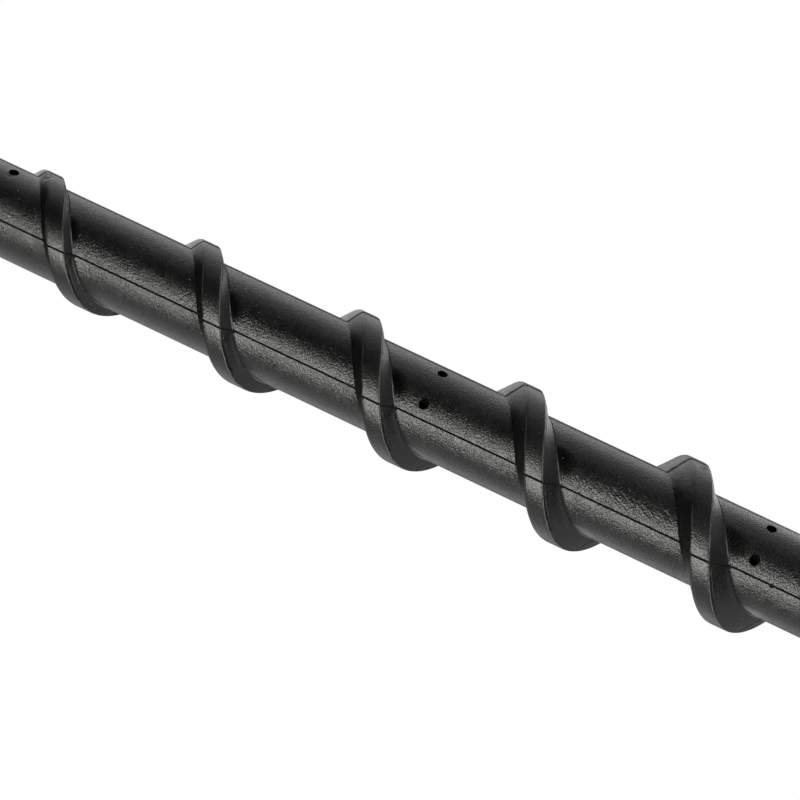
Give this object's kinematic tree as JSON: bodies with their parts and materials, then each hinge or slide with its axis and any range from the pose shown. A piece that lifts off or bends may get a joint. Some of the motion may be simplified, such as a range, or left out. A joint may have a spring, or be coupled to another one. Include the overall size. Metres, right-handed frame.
{
  "type": "car mast aerial",
  "caption": "Short flexible roof mast aerial: moulded black sheath with a helical wind rib over a wound rod, with a threaded brass stud at the foot.",
  "frame": {"origin": "centre of the seat face, where the stud leaves the foot", "axes": "+Z along the mast towards the tip; -Y faces the middle of the mould quarter with the steady-pin holes seen in the picture"},
  "size_m": [0.0162, 0.0162, 0.215],
  "materials": {
    "moulding": "satin moulded",
    "brass": "turned",
    "glass_fibre": "plain rod",
    "copper": "bare wire",
    "sleeve": "shrunk sleeve"
  },
  "bodies": {
    "root": {"mast_sheath": "moulding", "base_ferrule": "brass", "core_rod": "glass_fibre", "aerial_wire": "copper", "shrink_sleeve": "sleeve"}
  },
  "joints": []
}
